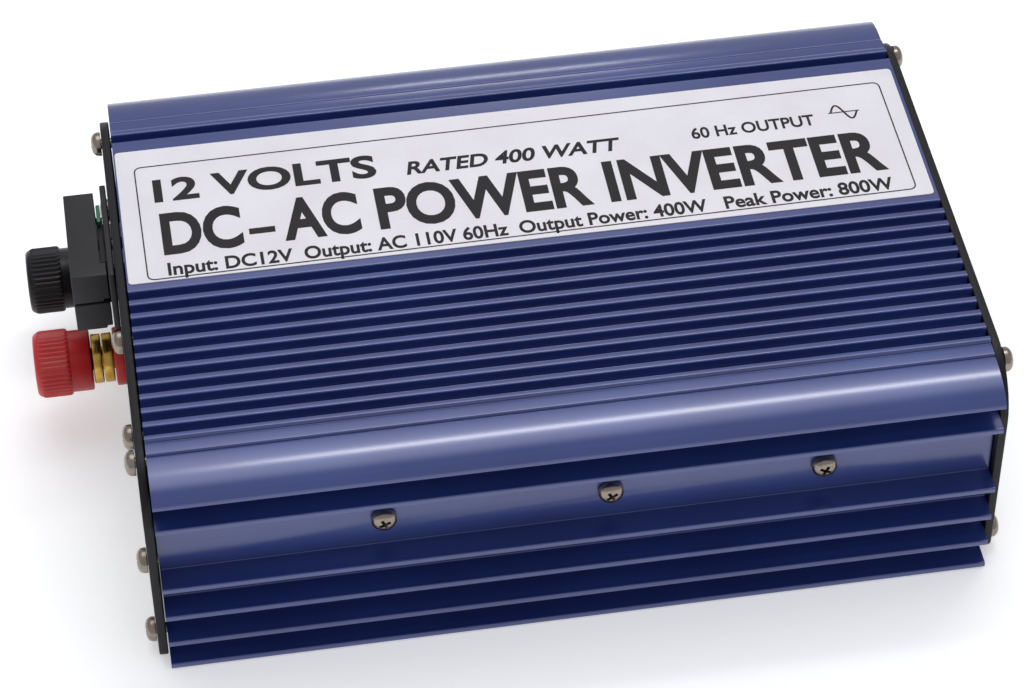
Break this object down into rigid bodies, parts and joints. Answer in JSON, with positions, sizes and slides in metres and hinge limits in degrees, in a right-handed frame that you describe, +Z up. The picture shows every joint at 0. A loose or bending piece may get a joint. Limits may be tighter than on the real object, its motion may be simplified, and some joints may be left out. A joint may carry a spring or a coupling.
{
  "type": "power inverter",
  "caption": "Finned aluminium DC to AC inverter box with screw binding posts, a blade fuse block and a cooling fan at one end, and mains sockets with a rocker switch at the other.",
  "frame": {"origin": "centre of the underside of the base plate, half way along the extrusion", "axes": "+X along the extrusion from the DC end to the AC end, +Y towards the side with the label, +Z up"},
  "size_m": [0.2323, 0.1412, 0.0628],
  "materials": {
    "blue_anodised_aluminium": "satin blue anodised, with fine lines along the extrusion",
    "black_coated_steel": "satin black powder coat",
    "label_film": "printed silvery white polyester film",
    "nickel_steel": "nickel plated steel",
    "brass": "turned brass",
    "red_gloss_plastic": "moulded red ABS",
    "black_gloss_plastic": "moulded black ABS",
    "black_plastic": "satin moulded nylon",
    "amber_plastic": "amber moulded fuse body",
    "board_laminate": "green solder mask on glass laminate",
    "dark_grey_plastic": "moulded glass-filled plastic",
    "green_lens": "green tinted lamp lens",
    "red_lens": "red tinted lamp lens",
    "ferrite": "sintered ferrite",
    "copper_wire": "enamelled copper windings",
    "capacitor_sleeve": "shrink sleeve over an aluminium can",
    "epoxy_case": "moulded epoxy",
    "plain_aluminium": "mill finish aluminium"
  },
  "bodies": {
    "chassis": {"ac_end_panel": "black_coated_steel", "ac_end_screw_1": "nickel_steel", "ac_end_screw_2": "nickel_steel", "ac_end_screw_3": "nickel_steel", "ac_end_screw_4": "nickel_steel", "ac_outlet_1": "black_plastic", "ac_outlet_2": "black_plastic", "base_plate": "blue_anodised_aluminium", "black_post_base": "black_gloss_plastic", "black_post_nut": "brass", "black_post_stud": "brass", "clamp_bar_front": "plain_aluminium", "clamp_bar_rear": "plain_aluminium", "dc_end_panel": "black_coated_steel", "dc_end_screw_1": "nickel_steel", "dc_end_screw_2": "nickel_steel", "dc_end_screw_3": "nickel_steel", "dc_end_screw_4": "nickel_steel", "dc_end_screw_5": "nickel_steel", "dc_end_screw_6": "nickel_steel", "fan_frame": "dark_grey_plastic", "fan_screw_1": "nickel_steel", "fan_screw_2": "nickel_steel", "fault_lamp": "red_lens", "front_screw_1": "nickel_steel", "front_screw_2": "nickel_steel", "front_screw_3": "nickel_steel", "fuse_bezel": "black_plastic", "fuse_holder_lower": "black_plastic", "fuse_holder_upper": "black_plastic", "fuse_terminal_board": "board_laminate", "housing_shell": "blue_anodised_aluminium", "input_capacitor_1": "capacitor_sleeve", "input_capacitor_2": "capacitor_sleeve", "main_board": "board_laminate", "output_capacitor": "capacitor_sleeve", "output_choke": "copper_wire", "power_lamp": "green_lens", "rating_label": "label_film", "rear_screw_1": "nickel_steel", "rear_screw_2": "nickel_steel", "rear_screw_3": "nickel_steel", "red_post_base": "red_gloss_plastic", "red_post_nut": "brass", "red_post_stud": "brass", "switch_bezel": "black_plastic", "transformer_coil": "copper_wire", "transformer_core": "ferrite", "transistor_front_1": "epoxy_case", "transistor_front_2": "epoxy_case", "transistor_rear_1": "epoxy_case", "transistor_rear_2": "epoxy_case"},
    "red_washer": {"red_post_washer": "brass"},
    "red_cap": {"red_post_cap": "red_gloss_plastic"},
    "black_washer": {"black_post_washer": "brass"},
    "black_cap": {"black_post_cap": "black_gloss_plastic"},
    "fan_rotor": {"fan_rotor": "dark_grey_plastic"},
    "rocker": {"switch_rocker": "black_plastic"},
    "upper_fuse": {"fuse_upper": "amber_plastic"},
    "lower_fuse": {"fuse_lower": "amber_plastic"}
  },
  "joints": [
    {"name": "red_clamp_slide", "type": "slide", "parent": "chassis", "child": "red_washer", "axis": [-1, 0, 0], "range_m": [0, 0.0048]},
    {"name": "red_cap_turn", "type": "hinge", "parent": "red_washer", "child": "red_cap", "pos_m": [-0.1185, 0.01655, 0.02], "axis": [-1, 0, 0], "range_deg": [0, 1710]},
    {"name": "black_clamp_slide", "type": "slide", "parent": "chassis", "child": "black_washer", "axis": [-1, 0, 0], "range_m": [0, 0.0048]},
    {"name": "black_cap_turn", "type": "hinge", "parent": "black_washer", "child": "black_cap", "pos_m": [-0.1185, 0.047, 0.02], "axis": [-1, 0, 0], "range_deg": [0, 1710]},
    {"name": "fan_spin", "type": "hinge", "parent": "chassis", "child": "fan_rotor", "pos_m": [-0.0955, -0.0245, 0.0341], "axis": [1, 0, 0], "continuous": true},
    {"name": "switch_rock", "type": "hinge", "parent": "chassis", "child": "rocker", "pos_m": [0.1008, 0.036, 0.036], "axis": [0, -1, 0], "range_deg": [0, 22]},
    {"name": "upper_fuse_pull", "type": "slide", "parent": "chassis", "child": "upper_fuse", "axis": [-1, 0, 0], "range_m": [0, 0.018]},
    {"name": "lower_fuse_pull", "type": "slide", "parent": "chassis", "child": "lower_fuse", "axis": [-1, 0, 0], "range_m": [0, 0.018]}
  ],
  "couplings": [
    {"joint": "red_clamp_slide", "follows": "red_cap_turn", "m_per_rad": 0.00015915},
    {"joint": "black_clamp_slide", "follows": "black_cap_turn", "m_per_rad": 0.00015915}
  ]
}
